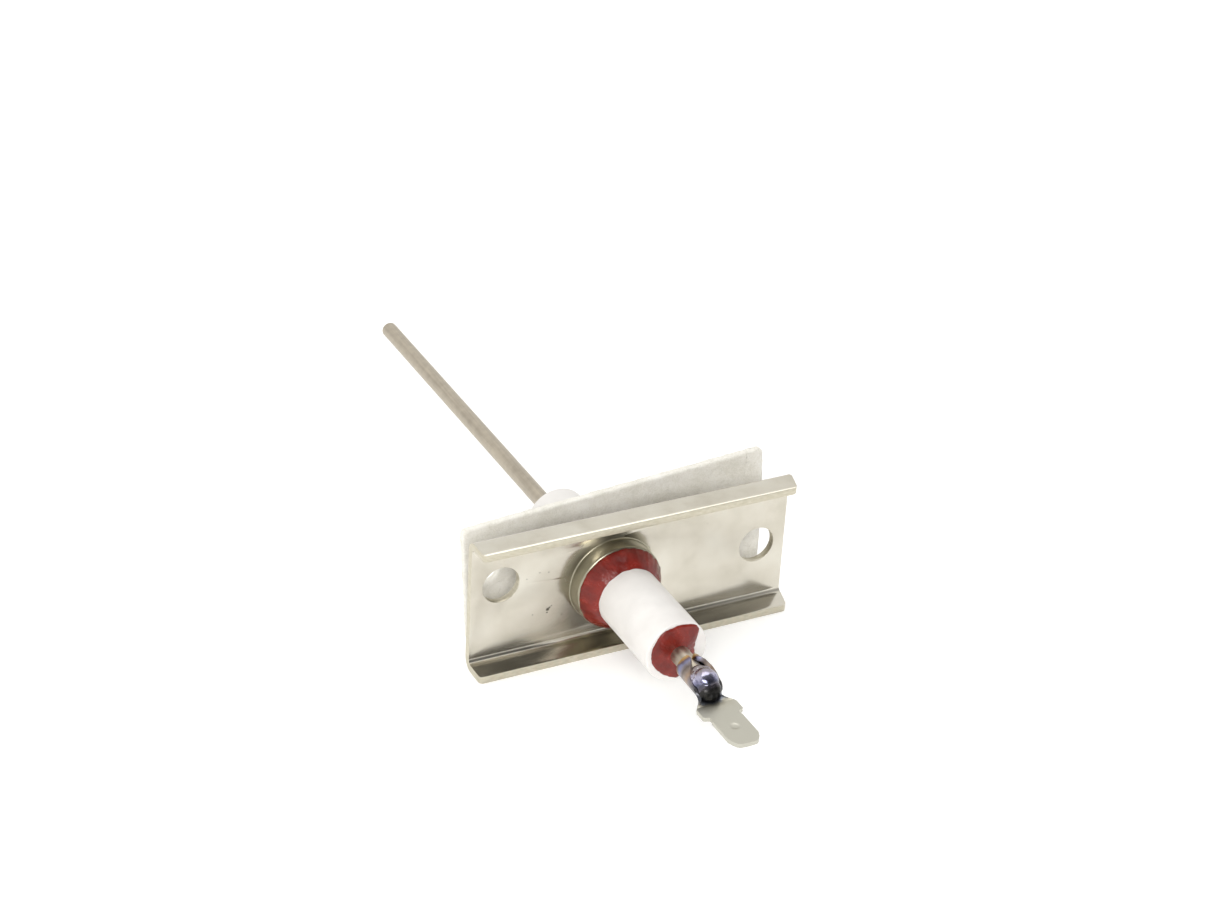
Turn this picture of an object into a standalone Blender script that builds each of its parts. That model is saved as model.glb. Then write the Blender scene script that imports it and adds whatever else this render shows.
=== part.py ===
# Ignition electrode for a boiler burner: a steel channel bracket carries a ferrule, the ferrule
# carries a ceramic insulator, and the insulator carries the electrode rod, its terminal and a
# fibre gasket that slides on it.
# Frame: metres, +Z up. The electrode's axis is the Y axis. The rod points along +Y, into the burner,
# and the terminal along -Y. The origin is on that axis, in the plane of the bracket's rear face.

import math

import bmesh
import bpy

MM = 0.001
GAP = 0.0003              # clearance kept between neighbouring solids

# Bracket: a channel folded from sheet, web upright, both flanges towards the terminal
SHEET = 1.5 * MM
WEB_LEFT = -30.1 * MM
WEB_RIGHT = 38.2 * MM
WEB_TOP = 15.4 * MM
WEB_BOTTOM = -13.4 * MM
FLANGE_DEPTH = 6.8 * MM   # from the rear face of the web to the flange's free edge
BEND_RADIUS = 2.5 * MM    # outside of the fold
END_TAPER = 1.2 * MM      # the right ends of the flanges are cut back towards the free edge
SCREW_HOLES = ((-23.8 * MM, 4.4 * MM), (32.0 * MM, 0.3 * MM))
SCREW_HOLE_RADIUS = 3.85 * MM

# Ferrule: turned collar, its spigot through the web and its flared foot in front of it
FERRULE_BORE = 8.7 * MM
FERRULE_SPIGOT = 9.5 * MM
FERRULE_BODY = 9.3 * MM
FERRULE_FOOT = 11.0 * MM
FERRULE_FRONT = 5.1 * MM

# Electrode
CERAMIC_RADIUS = 6.35 * MM
CERAMIC_FRONT = 28.3 * MM
CERAMIC_REAR = -23.8 * MM
CERAMIC_BORE = 2.0 * MM
CEMENT_POCKET_RADIUS = 3.3 * MM
CEMENT_POCKET_DEPTH = 4.0 * MM
ROD_RADIUS = 1.7 * MM
ROD_FRONT = 36.6 * MM
ROD_REAR = -109.6 * MM
CAP_RADIUS = 6.0 * MM
CAP_HEIGHT = 1.1 * MM

# Terminal: an open crimp barrel and a 6.3 mm quick-connect blade, pressed from one sheet
TAB_SHEET = 0.8 * MM
BARREL_INNER = 1.9 * MM
BARREL_START = 33.2 * MM
BARREL_END = 42.0 * MM
BARREL_WING_ANGLE = 38.0  # degrees that each wing rises above the rod's middle
NECK_START = 41.2 * MM
NECK_HALF = 2.3 * MM
SHOULDER_START = 43.6 * MM
SHOULDER_END = 46.9 * MM
SHOULDER_HALF = 4.2 * MM
BLADE_HALF = 3.15 * MM
BLADE_BEVEL_START = 54.4 * MM
TAB_TIP = 56.5 * MM
TIP_HALF = 1.7 * MM
DIMPLE_AT = 51.0 * MM
DIMPLE_RADIUS = 1.2 * MM
DIMPLE_DEPTH = 0.35 * MM

# Weld bead over the rod's end, between the barrel's wings
BEAD_AT = 38.9 * MM
BEAD_HALF_WIDTH = 1.6 * MM
BEAD_HALF_LENGTH = 2.0 * MM
BEAD_HALF_HEIGHT = 2.1 * MM
BEAD_RISE = 0.5 * MM

# Gasket: loose on the insulator, a little turned about it
GASKET_THICKNESS = 1.6 * MM
GASKET_STANDOFF = 6.5 * MM
GASKET_LEFT = -27.6 * MM
GASKET_RIGHT = 36.9 * MM
GASKET_TOP = 14.7 * MM
GASKET_BOTTOM = -11.5 * MM
GASKET_CORNER = 2.2 * MM
GASKET_BORE = 7.0 * MM
GASKET_HOLES = ((-23.2 * MM, 4.4 * MM), (31.9 * MM, 0.3 * MM))
GASKET_HOLE_RADIUS = 2.9 * MM
GASKET_TURN = 4.0         # degrees, anticlockwise as seen from the terminal

ROUND_STEPS = 48


def collection(name):
    made = bpy.data.collections.new(name)
    bpy.context.scene.collection.children.link(made)
    return made


def material(name, colour, roughness, metallic):
    made = bpy.data.materials.new(name)
    made.use_nodes = True
    shader = made.node_tree.nodes["Principled BSDF"]
    shader.inputs["Base Color"].default_value = (*colour, 1.0)
    shader.inputs["Roughness"].default_value = roughness
    shader.inputs["Metallic"].default_value = metallic
    made.diffuse_color = (*colour, 1.0)
    return made


def add_object(name, mesh, into, look=None, parent=None):
    made = bpy.data.objects.new(name, mesh)
    into.objects.link(made)
    made.parent = parent
    if look:
        mesh.materials.append(look)
    return made


def smooth(obj, degrees=35.0):
    obj.data.shade_smooth()
    obj.data.set_sharp_from_angle(angle=math.radians(degrees))


def arc(centre, radius, start, end, steps):
    """Points on an arc in the profile's plane, from the start angle to the end angle."""
    points = []
    for step in range(steps + 1):
        angle = math.radians(start + (end - start) * step / steps)
        points.append((centre[0] + radius * math.cos(angle), centre[1] + radius * math.sin(angle)))
    return points


def turned(name, profile, into, look, parent):
    """A closed (radius, height) profile turned about the local Z axis by a Screw modifier."""
    mesh = bpy.data.meshes.new(name)
    build = bmesh.new()
    verts = [build.verts.new((radius, 0.0, height)) for radius, height in profile]
    for index, vert in enumerate(verts):
        build.edges.new((vert, verts[(index + 1) % len(verts)]))
    build.to_mesh(mesh)
    build.free()
    obj = add_object(name, mesh, into, look, parent)
    screw = obj.modifiers.new("turn", "SCREW")
    screw.axis = "Z"
    screw.steps = ROUND_STEPS
    screw.render_steps = ROUND_STEPS
    screw.use_merge_vertices = True
    screw.merge_threshold = 0.00001
    screw.use_smooth_shade = True
    return obj


def flat_outline(name, loops, thickness, into, look, parent):
    """A flat plate from closed outlines in the local XY plane, the first one outside."""
    curve = bpy.data.curves.new(name + "_outline", "CURVE")
    curve.dimensions = "2D"
    curve.fill_mode = "BOTH"
    curve.extrude = thickness / 2
    for loop in loops:
        spline = curve.splines.new("POLY")
        spline.points.add(len(loop) - 1)
        for point, (x, y) in zip(spline.points, loop):
            point.co = (x, y, 0.0, 1.0)
        spline.use_cyclic_u = True
    guide = bpy.data.objects.new(name + "_outline", curve)
    into.objects.link(guide)
    bpy.context.view_layer.update()
    mesh = bpy.data.meshes.new_from_object(guide.evaluated_get(bpy.context.evaluated_depsgraph_get()))
    bpy.data.objects.remove(guide)
    build = bmesh.new()
    build.from_mesh(mesh)
    bmesh.ops.remove_doubles(build, verts=build.verts, dist=0.000001)
    bmesh.ops.recalc_face_normals(build, faces=build.faces)
    build.to_mesh(mesh)
    build.free()
    mesh.name = name
    mesh.materials.clear()
    return add_object(name, mesh, into, look, parent)


def cylinder_cutter(name, radius, length, location, into, parent=None, steps=ROUND_STEPS):
    """A closed cylinder along the local Z axis."""
    mesh = bpy.data.meshes.new(name)
    build = bmesh.new()
    bmesh.ops.create_cone(build, cap_ends=True, segments=steps, radius1=radius, radius2=radius, depth=length)
    build.to_mesh(mesh)
    build.free()
    cutter = add_object(name, mesh, into, parent=parent)
    cutter.location = location
    cutter.hide_render = True
    cutter.display_type = "WIRE"
    return cutter


def cut(obj, cutter, operation="DIFFERENCE"):
    boolean = obj.modifiers.new(cutter.name, "BOOLEAN")
    boolean.operation = operation
    boolean.object = cutter
    boolean.solver = "EXACT"


def build_bracket(parts, cutters, axis, look):
    """Channel section: an open sheet with its two folds, thickened towards the terminal."""
    section = (
        (FLANGE_DEPTH, WEB_BOTTOM, END_TAPER),
        (0.0, WEB_BOTTOM, 0.0),
        (0.0, WEB_TOP, 0.0),
        (FLANGE_DEPTH, WEB_TOP, END_TAPER),
    )
    mesh = bpy.data.meshes.new("mounting_bracket")
    build = bmesh.new()
    left = [build.verts.new((WEB_LEFT, -depth, height)) for depth, height, taper in section]
    right = [build.verts.new((WEB_RIGHT - taper, -depth, height)) for depth, height, taper in section]
    for index in range(len(section) - 1):
        build.faces.new((left[index], left[index + 1], right[index + 1], right[index]))
    weight = build.edges.layers.float.new("bevel_weight_edge")
    for index in (1, 2):
        build.edges.get((left[index], right[index]))[weight] = 1.0
    build.to_mesh(mesh)
    build.free()
    bracket = add_object("mounting_bracket", mesh, parts, look)
    fold = bracket.modifiers.new("fold", "BEVEL")
    fold.limit_method = "WEIGHT"
    fold.width = BEND_RADIUS
    fold.segments = 8
    sheet = bracket.modifiers.new("sheet", "SOLIDIFY")
    sheet.thickness = SHEET
    sheet.offset = -1.0
    for index, (x, z) in enumerate(SCREW_HOLES):
        name = "screw_hole_cutter_%d" % (index + 1)
        place = (x, z, SHEET / 2)
        cut(bracket, cylinder_cutter(name, SCREW_HOLE_RADIUS, 4 * SHEET, place, cutters, axis, 48))
    ferrule_hole = FERRULE_SPIGOT + GAP
    cut(bracket, cylinder_cutter("ferrule_hole_cutter", ferrule_hole, 4 * SHEET, (0, 0, SHEET / 2), cutters, axis))
    return bracket


def build_ferrule(parts, axis, look):
    """Collar with a rounded rim, a fillet down to its foot, and a spigot through the web."""
    rim = (FERRULE_BODY - FERRULE_BORE) / 2
    foot_face = SHEET + GAP
    fillet = FERRULE_FOOT - FERRULE_BODY
    middle = FERRULE_BODY - rim
    profile = arc((middle, FERRULE_FRONT - rim), rim, 180.0, 0.0, 8)
    profile += arc((FERRULE_FOOT, foot_face + 0.2 * MM + fillet), fillet, 180.0, 270.0, 6)
    profile.append((FERRULE_FOOT, foot_face))
    profile.append((FERRULE_SPIGOT, foot_face))
    profile.append((FERRULE_SPIGOT, 0.0))
    profile.append((FERRULE_BORE, 0.0))
    return turned("ferrule", profile, parts, look, axis)


def build_ceramic(parts, axis, look):
    """Tube with eased ends and a pocket for the cement in its rear end."""
    ease_front = 0.35 * MM
    ease_rear = 0.5 * MM
    pocket_floor = CERAMIC_REAR + CEMENT_POCKET_DEPTH
    profile = arc((CERAMIC_RADIUS - ease_front, CERAMIC_FRONT - ease_front), ease_front, 90.0, 0.0, 5)
    profile += arc((CERAMIC_RADIUS - ease_rear, CERAMIC_REAR + ease_rear), ease_rear, 0.0, -90.0, 4)
    profile.append((CEMENT_POCKET_RADIUS, CERAMIC_REAR))
    profile.append((CEMENT_POCKET_RADIUS, pocket_floor))
    profile.append((CERAMIC_BORE, pocket_floor))
    profile.append((CERAMIC_BORE, CERAMIC_FRONT))
    return turned("ceramic_insulator", profile, parts, look, axis)


def build_sealants(parts, axis, red, cement):
    """Bond ring in the ferrule, cap on the insulator's front face, cement in its rear pocket."""
    inner = CERAMIC_RADIUS + GAP
    outer = FERRULE_BORE - GAP
    lip = FERRULE_FRONT - 0.4 * MM
    crest = FERRULE_FRONT + 3.5 * MM
    ring = [(inner, crest), (inner + 0.3 * MM, crest - 0.3 * MM), (outer - 0.3 * MM, lip + 0.6 * MM)]
    ring += [(outer, lip), (outer, 0.5 * MM), (inner, 0.5 * MM)]
    turned("ferrule_sealant", ring, parts, red, axis)

    seat = CERAMIC_FRONT + GAP
    bore = ROD_RADIUS + GAP
    cap = [(bore, seat + CAP_HEIGHT), (bore + 0.8 * MM, seat + 0.8 * CAP_HEIGHT)]
    cap += [(CAP_RADIUS - 0.4 * MM, seat + 0.35 * CAP_HEIGHT), (CAP_RADIUS, seat + 0.1 * CAP_HEIGHT)]
    cap += [(CAP_RADIUS, seat), (bore, seat)]
    turned("front_sealant_cap", cap, parts, red, axis)

    pocket_floor = CERAMIC_REAR + CEMENT_POCKET_DEPTH
    plug_outer = CEMENT_POCKET_RADIUS - GAP
    plug = [(bore, pocket_floor - GAP), (plug_outer, pocket_floor - GAP)]
    plug += [(plug_outer, CERAMIC_REAR + 0.2 * MM), (bore, CERAMIC_REAR + 0.5 * MM)]
    turned("rear_cement", plug, parts, cement, axis)


def build_rod(parts, axis, look):
    """Solid round rod; its profile runs from the axis out, down the side and back to the axis."""
    ease = 0.35 * MM
    mesh = bpy.data.meshes.new("electrode_rod")
    build = bmesh.new()
    profile = [(0.0, ROD_FRONT)]
    profile += arc((ROD_RADIUS - ease, ROD_FRONT - ease), ease, 90.0, 0.0, 3)
    profile += arc((ROD_RADIUS - ease, ROD_REAR + ease), ease, 0.0, -90.0, 3)
    profile.append((0.0, ROD_REAR))
    verts = [build.verts.new((radius, 0.0, height)) for radius, height in profile]
    for first, second in zip(verts, verts[1:]):
        build.edges.new((first, second))
    build.to_mesh(mesh)
    build.free()
    rod = add_object("electrode_rod", mesh, parts, look, axis)
    screw = rod.modifiers.new("turn", "SCREW")
    screw.axis = "Z"
    screw.steps = 32
    screw.render_steps = 32
    screw.use_merge_vertices = True
    screw.merge_threshold = 0.00001
    screw.use_smooth_shade = True
    return rod


def build_terminal(parts, cutters, axis, look):
    """Flat blade with shoulders, joined to an open barrel that wraps the rod from below."""
    middle_height = -(BARREL_INNER + TAB_SHEET / 2)
    right_side = [
        (NECK_HALF, NECK_START),
        (NECK_HALF + 0.3 * MM, NECK_START + 0.8 * MM),
        (SHOULDER_HALF, SHOULDER_START),
        (SHOULDER_HALF, SHOULDER_END - 0.3 * MM),
        (SHOULDER_HALF - 0.3 * MM, SHOULDER_END),
        (BLADE_HALF, SHOULDER_END),
        (BLADE_HALF, BLADE_BEVEL_START),
        (TIP_HALF + 0.5 * MM, TAB_TIP - 0.4 * MM),
        (TIP_HALF, TAB_TIP),
    ]
    left_side = [(-x, y) for x, y in reversed(right_side)]
    outline = right_side + left_side
    blade = flat_outline("terminal", [outline], TAB_SHEET, parts, look, None)
    blade.rotation_euler = (math.pi, 0.0, 0.0)
    blade.location = (0.0, 0.0, middle_height)
    smooth(blade)

    wrap = bpy.data.meshes.new("barrel_wrap")
    build = bmesh.new()
    steps = 28
    rings = []
    for forward in (BARREL_START, BARREL_END):
        ring = []
        for x, z in arc((0.0, 0.0), BARREL_INNER, BARREL_WING_ANGLE, -180.0 - BARREL_WING_ANGLE, steps):
            ring.append(build.verts.new((x, -forward, z)))
        rings.append(ring)
    for index in range(steps):
        build.faces.new((rings[0][index], rings[0][index + 1], rings[1][index + 1], rings[1][index]))
    bmesh.ops.recalc_face_normals(build, faces=build.faces)
    build.to_mesh(wrap)
    build.free()
    barrel = add_object("barrel_wrap", wrap, cutters)
    barrel.hide_render = True
    barrel.display_type = "WIRE"
    sheet = barrel.modifiers.new("sheet", "SOLIDIFY")
    sheet.thickness = TAB_SHEET
    sheet.offset = 1.0
    cut(blade, barrel, "UNION")

    sphere_radius = (DIMPLE_RADIUS ** 2 + DIMPLE_DEPTH ** 2) / (2 * DIMPLE_DEPTH)
    dimple = bpy.data.meshes.new("dimple_cutter")
    build = bmesh.new()
    bmesh.ops.create_icosphere(build, subdivisions=4, radius=sphere_radius)
    build.to_mesh(dimple)
    build.free()
    cutter = add_object("dimple_cutter", dimple, cutters)
    cutter.location = (0.0, -DIMPLE_AT, -BARREL_INNER + sphere_radius - DIMPLE_DEPTH)
    cutter.hide_render = True
    cutter.display_type = "WIRE"
    cut(blade, cutter)
    return blade


def build_bead(parts, look):
    """Weld bead: a rounded blob over the end of the rod."""
    mesh = bpy.data.meshes.new("weld_bead")
    build = bmesh.new()
    bmesh.ops.create_uvsphere(build, u_segments=24, v_segments=14, radius=1.0)
    bmesh.ops.scale(build, verts=build.verts, vec=(BEAD_HALF_WIDTH, BEAD_HALF_LENGTH, BEAD_HALF_HEIGHT))
    build.to_mesh(mesh)
    build.free()
    bead = add_object("weld_bead", mesh, parts, look)
    bead.location = (0.0, -BEAD_AT, BEAD_RISE)
    smooth(bead)
    return bead


def build_gasket(parts, axis, look):
    """Flat fibre plate with a clearance hole for the insulator and two screw holes."""
    corners = (
        (GASKET_RIGHT - GASKET_CORNER, GASKET_TOP - GASKET_CORNER, 0.0),
        (GASKET_LEFT + GASKET_CORNER, GASKET_TOP - GASKET_CORNER, 90.0),
        (GASKET_LEFT + GASKET_CORNER, GASKET_BOTTOM + GASKET_CORNER, 180.0),
        (GASKET_RIGHT - GASKET_CORNER, GASKET_BOTTOM + GASKET_CORNER, 270.0),
    )
    outline = []
    for x, z, start in corners:
        outline += arc((x, z), GASKET_CORNER, start, start + 90.0, 6)
    loops = [outline, arc((0.0, 0.0), GASKET_BORE, 0.0, 360.0, 64)[:-1]]
    for centre in GASKET_HOLES:
        loops.append(arc(centre, GASKET_HOLE_RADIUS, 0.0, 360.0, 36)[:-1])
    gasket = flat_outline("fibre_gasket", loops, GASKET_THICKNESS, parts, look, axis)
    gasket.location = (0.0, 0.0, -(GASKET_STANDOFF + GASKET_THICKNESS / 2))
    gasket.rotation_euler = (0.0, 0.0, math.radians(GASKET_TURN))
    return gasket


def main():
    for obj in list(bpy.data.objects):
        bpy.data.objects.remove(obj)
    parts = collection("ignition_electrode")
    cutters = collection("cutters")

    stainless = material("stainless_sheet", (0.62, 0.58, 0.50), 0.32, 1.0)
    turned_steel = material("turned_steel", (0.50, 0.47, 0.40), 0.28, 1.0)
    alumina = material("alumina_ceramic", (0.92, 0.91, 0.88), 0.45, 0.0)
    red_sealant = material("red_sealant", (0.25, 0.02, 0.012), 0.22, 0.0)
    cement = material("refractory_cement", (0.72, 0.70, 0.64), 0.85, 0.0)
    rod_alloy = material("rod_alloy", (0.48, 0.44, 0.36), 0.42, 1.0)
    plated_tab = material("plated_tab", (0.68, 0.66, 0.58), 0.35, 1.0)
    weld_metal = material("weld_metal", (0.16, 0.15, 0.17), 0.30, 1.0)
    fibre = material("gasket_fibre", (0.72, 0.71, 0.67), 0.95, 0.0)

    # local +Z of this empty is the terminal side of the electrode's axis
    axis = bpy.data.objects.new("electrode_axis", None)
    axis.rotation_euler = (math.radians(90.0), 0.0, 0.0)
    parts.objects.link(axis)

    build_bracket(parts, cutters, axis, stainless)
    build_ferrule(parts, axis, turned_steel)
    build_ceramic(parts, axis, alumina)
    build_sealants(parts, axis, red_sealant, cement)
    build_rod(parts, axis, rod_alloy)
    build_terminal(parts, cutters, axis, plated_tab)
    build_bead(parts, weld_metal)
    build_gasket(parts, axis, fibre)
    bpy.context.view_layer.update()


main()
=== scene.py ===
import math

import bmesh
import bpy
from mathutils import Matrix, Vector, noise


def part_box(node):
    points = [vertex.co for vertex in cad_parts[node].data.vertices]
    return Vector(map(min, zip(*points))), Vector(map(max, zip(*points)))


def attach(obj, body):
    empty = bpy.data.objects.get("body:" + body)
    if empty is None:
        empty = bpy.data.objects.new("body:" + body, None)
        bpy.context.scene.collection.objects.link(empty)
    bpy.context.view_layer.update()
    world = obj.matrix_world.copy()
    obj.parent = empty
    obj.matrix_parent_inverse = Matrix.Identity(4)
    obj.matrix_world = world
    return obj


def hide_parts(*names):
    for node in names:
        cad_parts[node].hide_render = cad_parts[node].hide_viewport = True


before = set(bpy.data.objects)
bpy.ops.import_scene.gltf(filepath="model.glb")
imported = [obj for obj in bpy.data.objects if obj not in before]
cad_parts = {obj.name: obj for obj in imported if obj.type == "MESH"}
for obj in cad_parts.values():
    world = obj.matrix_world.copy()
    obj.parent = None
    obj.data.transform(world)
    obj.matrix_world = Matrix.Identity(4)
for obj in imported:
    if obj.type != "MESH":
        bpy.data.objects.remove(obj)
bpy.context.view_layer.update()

mm = 0.001
scene = bpy.context.scene

# The electrode's axis is the Y axis: the terminal points to -Y and the rod to +Y.
# Sizes in the dictionaries are millimetres; "forward" is the distance from the
# bracket's rear face towards the terminal, so a point's y is minus that.


def linear(hexColour):
    # sRGB hex to the linear values that the shaders want
    values = [int(hexColour[i:i + 2], 16) / 255 for i in (0, 2, 4)]
    return (*[v / 12.92 if v <= 0.04045 else ((v + 0.055) / 1.055) ** 2.4 for v in values], 1.0)


def perMm(x, y, z):
    # scale of a pattern whose features measure x, y and z millimetres
    return (1 / (x * mm), 1 / (y * mm), 1 / (z * mm))


def addNode(tree, kind, links=None, stops=None, **settings):
    # one node with its settings; a link's value is another node's socket or a plain value
    node = tree.nodes.new(kind)
    for key, value in settings.items():
        setattr(node, key, value)
    for key, value in (links or {}).items():
        if isinstance(value, bpy.types.NodeSocket):
            tree.links.new(value, node.inputs[key])
        else:
            node.inputs[key].default_value = value
    if stops:
        ramp = node.color_ramp
        while len(ramp.elements) < len(stops):
            ramp.elements.new(0.5)
        for element, (place, colour) in zip(ramp.elements, stops):
            element.position = place
            element.color = linear(colour) if isinstance(colour, str) else (colour, colour, colour, 1.0)
    return node


def newMaterial(name):
    look = bpy.data.materials.new(name)
    look.use_nodes = True
    tree = look.node_tree
    tree.nodes.clear()
    shader = addNode(tree, "ShaderNodeBsdfPrincipled")
    addNode(tree, "ShaderNodeOutputMaterial", {"Surface": shader.outputs[0]})
    place = addNode(tree, "ShaderNodeTexCoord").outputs["Object"]
    return look, tree, shader, place


def join(tree, source, shader, socket):
    tree.links.new(source, shader.inputs[socket])


def newObject(name, mesh, looks=()):
    obj = bpy.data.objects.new(name, mesh)
    scene.collection.objects.link(obj)
    for look in looks:
        mesh.materials.append(look)
    return obj


def cleanMesh(mesh):
    # joins points that coincide and turns the faces outwards
    work = bmesh.new()
    work.from_mesh(mesh)
    bmesh.ops.remove_doubles(work, verts=work.verts, dist=1e-7)
    bmesh.ops.recalc_face_normals(work, faces=work.faces)
    work.to_mesh(mesh)
    work.free()


def newMesh(name, verts, faces, looks=()):
    mesh = bpy.data.meshes.new(name)
    mesh.from_pydata([[c * mm for c in v] for v in verts], [], faces)
    cleanMesh(mesh)
    return newObject(name, mesh, looks)


def shadeSmooth(mesh, sharpAngle=None):
    mesh.shade_smooth()
    if sharpAngle:
        mesh.set_sharp_from_angle(angle=math.radians(sharpAngle))


def settle(obj, sharpAngle=None):
    # the modifiers' result becomes the object's own mesh
    bpy.context.view_layer.update()
    graph = bpy.context.evaluated_depsgraph_get()
    mesh = bpy.data.meshes.new_from_object(obj.evaluated_get(graph))
    obj.modifiers.clear()
    obj.data = mesh
    shadeSmooth(mesh, sharpAngle)
    return obj


def addPiece(obj, body, slot, *nodes):
    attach(obj, body)
    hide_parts(*nodes)
    print("piece", obj.name, len(obj.data.polygons), "faces")


def arcPoints(centre, radius, start, end, steps):
    points = []
    for step in range(steps + 1):
        angle = math.radians(start + (end - start) * step / steps)
        points.append((centre[0] + radius * math.cos(angle), centre[1] + radius * math.sin(angle)))
    return points


def wave(x, y, z, size, seed):
    # smooth noise from -1 to 1 whose features are about size millimetres
    return noise.noise(Vector((x / size + seed * 13.7, y / size - seed * 7.1, z / size + seed * 3.3)))


def between(table, at):
    # linear reading of a table of rows (place, value, ...)
    for low, high in zip(table, table[1:]):
        if at <= high[0]:
            t = max(0.0, (at - low[0]) / (high[0] - low[0]))
            return [a + (b - a) * t for a, b in zip(low[1:], high[1:])]
    return list(table[-1][1:])


def ruffle(obj, push):
    # moves each point along its normal by push(x, y, z) millimetres
    moves = []
    for vert in obj.data.vertices:
        x, y, z = [c / mm for c in vert.co]
        moves.append(vert.normal * push(x, y, z) * mm)
    for vert, move in zip(obj.data.vertices, moves):
        vert.co += move


print("stage: camera, floor and light")

cameraView = {
    "lens": 82.7,
    "place": (-0.21798, -0.40027, 0.29185),
    "turn": (59.772, -2.920, -26.660),   # degrees
}
camera = bpy.data.objects.new("camera", bpy.data.cameras.new("camera"))
scene.collection.objects.link(camera)
camera.data.lens = cameraView["lens"]
camera.data.sensor_width = 36
camera.data.clip_start = 0.01
camera.location = cameraView["place"]
camera.rotation_euler = [math.radians(a) for a in cameraView["turn"]]
scene.camera = camera

studio = {
    "floorHeight": -13.42,      # the bracket's lower flange stands on it
    "floorHalf": 3.0,           # metres
    "floorGlow": 0.22,          # the card is lit from below, which washes out its shadows
    "wallTone": 1.02,
    "dimTone": 0.13,            # the dim room behind the camera, mirrored in the folds
    "dimSide": (0.25, -0.62, 0.74),
    "dimSpread": (0.45, 0.93),  # cosines where the room starts and ends
    "lights": {                 # watts, width in metres, place in metres
        "softbox": (6.0, 1.1, (0.12, 0.18, 1.3)),
        "lamp": (3.6, 0.35, (-0.30, -0.62, 0.42)),      # low, beside the camera; fills the front faces
    },
    "exposure": 0.0,
}


def floorMaterial():
    # matt white card: even, no grain that would show
    look, tree, shader, place = newMaterial("matt white card")
    card = addNode(tree, "ShaderNodeTexNoise", {"Vector": place, "Scale": 40.0, "Detail": 3.0})
    tone = addNode(tree, "ShaderNodeValToRGB",
            {"Fac": card.outputs[0]}, stops=[(0.3, "f4f4f3"), (0.7, "f6f6f5")])
    join(tree, tone.outputs[0], shader, "Base Color")
    shader.inputs["Roughness"].default_value = 0.9
    shader.inputs["Specular IOR Level"].default_value = 0.1
    shader.inputs["Emission Color"].default_value = linear("ffffff")
    shader.inputs["Emission Strength"].default_value = studio["floorGlow"]
    return look


half = studio["floorHalf"] / mm
level = studio["floorHeight"]
floorCorners = [(-half, -half, level), (half, -half, level), (half, half, level), (-half, half, level)]
floor = newMesh("studioFloor", floorCorners, [(0, 1, 2, 3)], [floorMaterial()])

world = bpy.data.worlds.new("studio")
scene.world = world
world.use_nodes = True
sky = world.node_tree
sky.nodes.clear()
direction = addNode(sky, "ShaderNodeTexCoord").outputs["Generated"]
towards = addNode(sky, "ShaderNodeVectorMath",
        {0: direction, 1: Vector(studio["dimSide"]).normalized()}, operation="DOT_PRODUCT")
dimmed = addNode(sky, "ShaderNodeMapRange",
        {0: towards.outputs["Value"], 1: studio["dimSpread"][0], 2: studio["dimSpread"][1],
         3: studio["wallTone"], 4: studio["dimTone"]}, interpolation_type="SMOOTHSTEP")
background = addNode(sky, "ShaderNodeBackground", {0: linear("fffefb"), 1: dimmed.outputs[0]})
addNode(sky, "ShaderNodeOutputWorld", {0: background.outputs[0]})

for name, (power, width, place) in studio["lights"].items():
    light = bpy.data.lights.new(name, "AREA")
    light.energy = power
    light.size = width
    lightObject = bpy.data.objects.new(name, light)
    scene.collection.objects.link(lightObject)
    lightObject.location = place
    lightObject.rotation_euler = (-Vector(place)).to_track_quat("-Z", "Y").to_euler()

scene.view_settings.view_transform = "Standard"
scene.view_settings.exposure = studio["exposure"]

print("stage: bracket")

bracketShape = {
    "sheet": 1.5,
    "left": -30.1,
    "right": 38.2,
    "top": 15.4,
    "bottom": -13.4,
    "flangeDepth": 6.8,
    "foldRadius": 2.5,
    "foldSteps": 12,
    "rightTaper": 1.2,
    "cornerRadius": 0.9,
    "screwHoles": ((-23.8, 4.4), (32.0, 0.3)),
    "screwHoleRadius": 3.85,
    "collarHoleRadius": 9.15,
    "holeSides": 96,
    "cutterLength": 12,
    "edgeBreak": 0.13,
    # specks of scale on the web: x, height, radius
    "specks": ((-13.7, -3.6, 0.34), (-13.3, -3.25, 0.22), (-13.8, -4.3, 0.16), (-12.9, -3.0, 0.12),
               (-16.9, -4.1, 0.11), (-10.6, -5.5, 0.12), (-15.7, 5.2, 0.10), (-13.8, 4.9, 0.12),
               (-18.4, 4.4, 0.08), (20.4, 7.9, 0.09), (6.2, -9.0, 0.08)),
}

stainlessFinish = {
    "bright": "d2cec3",
    "dull": "ccc7bb",
    "smudge": "c3beb1",
    "roughness": (0.17, 0.24),
    "grainLength": 5.0,
    "grainWidth": 0.18,      # real rolling lines are finer; drawn as wide as they need to show
    "grainDepth": 0.0025,
    # the painted shade beside the collar: its darkest side, its reach, its depth and how much duller its
    # reflections are
    "paintedShadeSide": (-0.55, 0.0, 0.83),
    "paintedShadeReach": (9.4, 12.2),   # distances from the electrode's axis
    "paintedShadeDepth": 0.7,
    "paintedShadeVeil": 0.35,       # how much duller the reflections are there
}


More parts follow.
